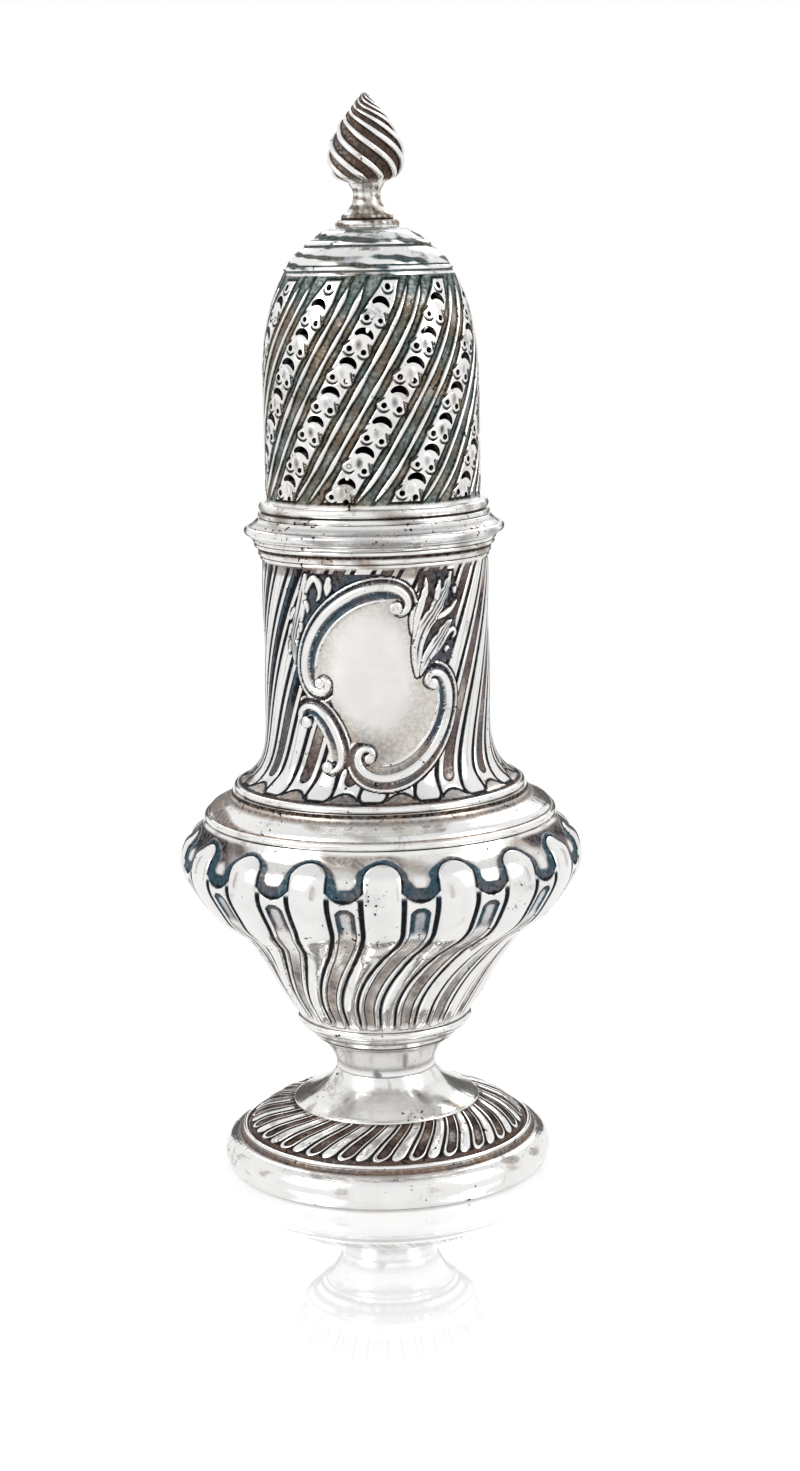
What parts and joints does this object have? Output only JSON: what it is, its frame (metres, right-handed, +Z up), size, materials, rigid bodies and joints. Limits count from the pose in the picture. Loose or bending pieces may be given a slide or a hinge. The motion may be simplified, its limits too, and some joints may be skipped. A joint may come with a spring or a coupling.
{
  "type": "sugar caster",
  "caption": "Tall silver sugar caster with a pierced spiral dome cover and flame finial over a fluted waist, a lobed bulb and a gadrooned foot.",
  "frame": {"origin": "centre of the ring on which the foot rests", "axes": "+Z up along the axis of the caster, towards the finial; -Y is the front, with the cartouche"},
  "size_m": [0.0788, 0.0788, 0.21],
  "materials": {
    "silver": "polished silver, tarnished in the hollows",
    "cover_silver": "polished silver, tarnished in the hollows"
  },
  "bodies": {
    "caster": {"foot_rim": "silver", "foot_dome": "silver", "stem_foot": "silver", "stem_cup": "silver", "base_ring": "silver", "lower_body": "silver", "shoulder_wire_lower": "silver", "shoulder_band": "silver", "shoulder_wire_upper": "silver", "upper_body": "silver", "neck_ring": "silver"},
    "cover": {"cover_rim": "cover_silver", "cover_bezel": "cover_silver", "dome_wire": "cover_silver", "cover_dome": "cover_silver", "cover_crown": "cover_silver", "finial_spool": "cover_silver", "finial_flame": "cover_silver"}
  },
  "joints": [
    {"name": "cover_lift", "type": "slide", "parent": "caster", "child": "cover", "axis": [0, 0, 1], "range_m": [0, 0.09]}
  ]
}
